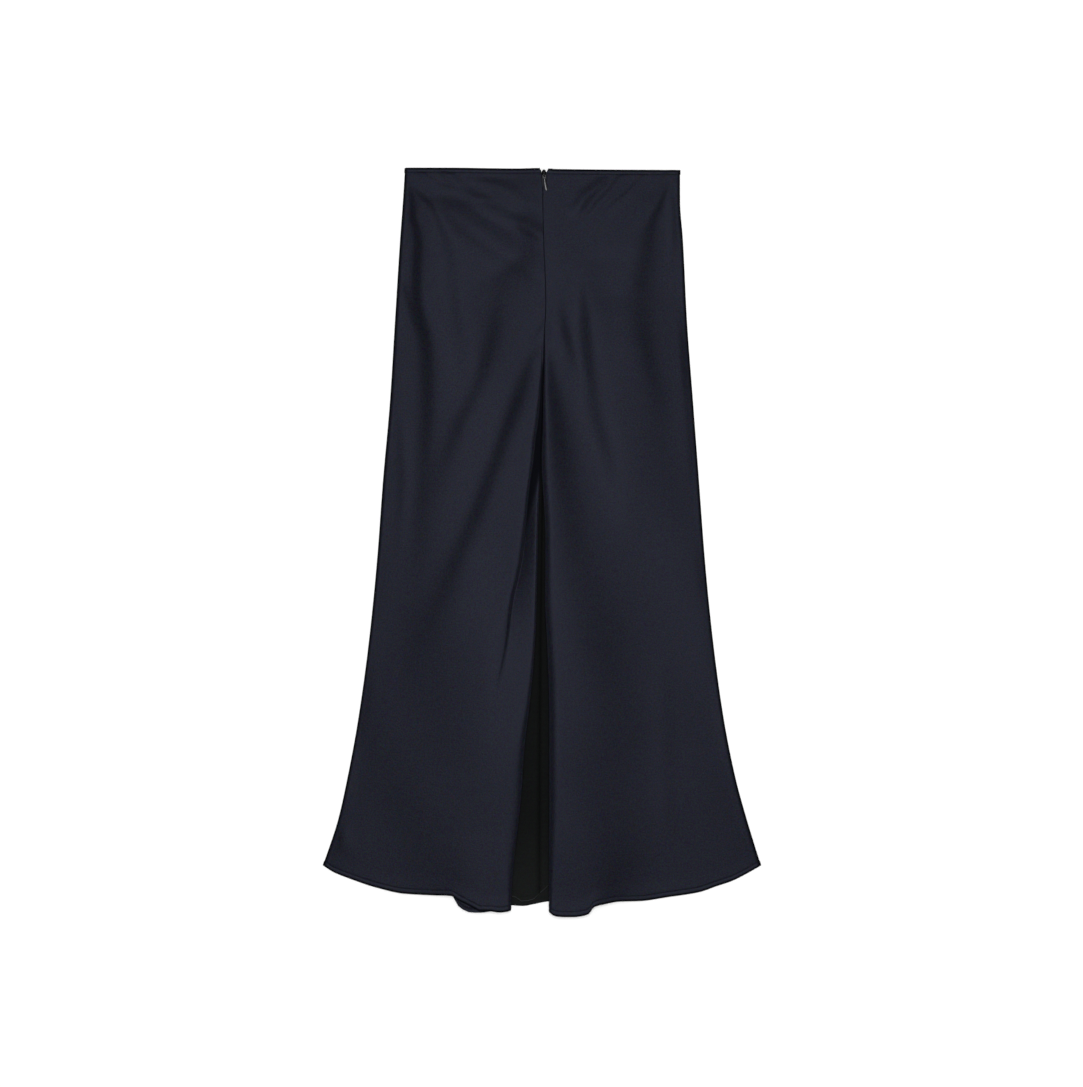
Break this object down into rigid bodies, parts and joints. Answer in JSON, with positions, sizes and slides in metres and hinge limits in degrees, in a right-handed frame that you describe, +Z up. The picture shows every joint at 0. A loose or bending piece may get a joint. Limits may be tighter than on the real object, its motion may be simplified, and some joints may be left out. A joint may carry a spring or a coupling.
{
  "type": "satin slip skirt",
  "caption": "Long bias-cut satin slip skirt laid flat with its back up, with a concealed back zip and a deep inverted pleat that opens below it to a flared hem.",
  "frame": {"origin": "on the surface the skirt lies on, under the middle of its outline", "axes": "+Z up from the surface, +Y up the skirt from the hem to the waist, +X to the right as seen from above"},
  "size_m": [0.5475, 0.9359, 0.0127],
  "materials": {
    "satin": "dark navy satin, smooth soft sheen",
    "zip_tape": "matt woven tape",
    "zip_metal": "dark polished metal"
  },
  "bodies": {
    "skirt": {"front_panel": "satin", "back_left_panel": "satin", "back_right_panel": "satin", "zip_tape": "zip_tape", "zip_slider": "zip_metal"},
    "pull": {"zip_pull": "zip_metal"}
  },
  "joints": [
    {"name": "pull_hinge", "type": "hinge", "parent": "skirt", "child": "pull", "pos_m": [0.0022, 0.45925, 0.00535], "axis": [-0.9816, -0.1908, 0], "range_deg": [0, 160]}
  ]
}
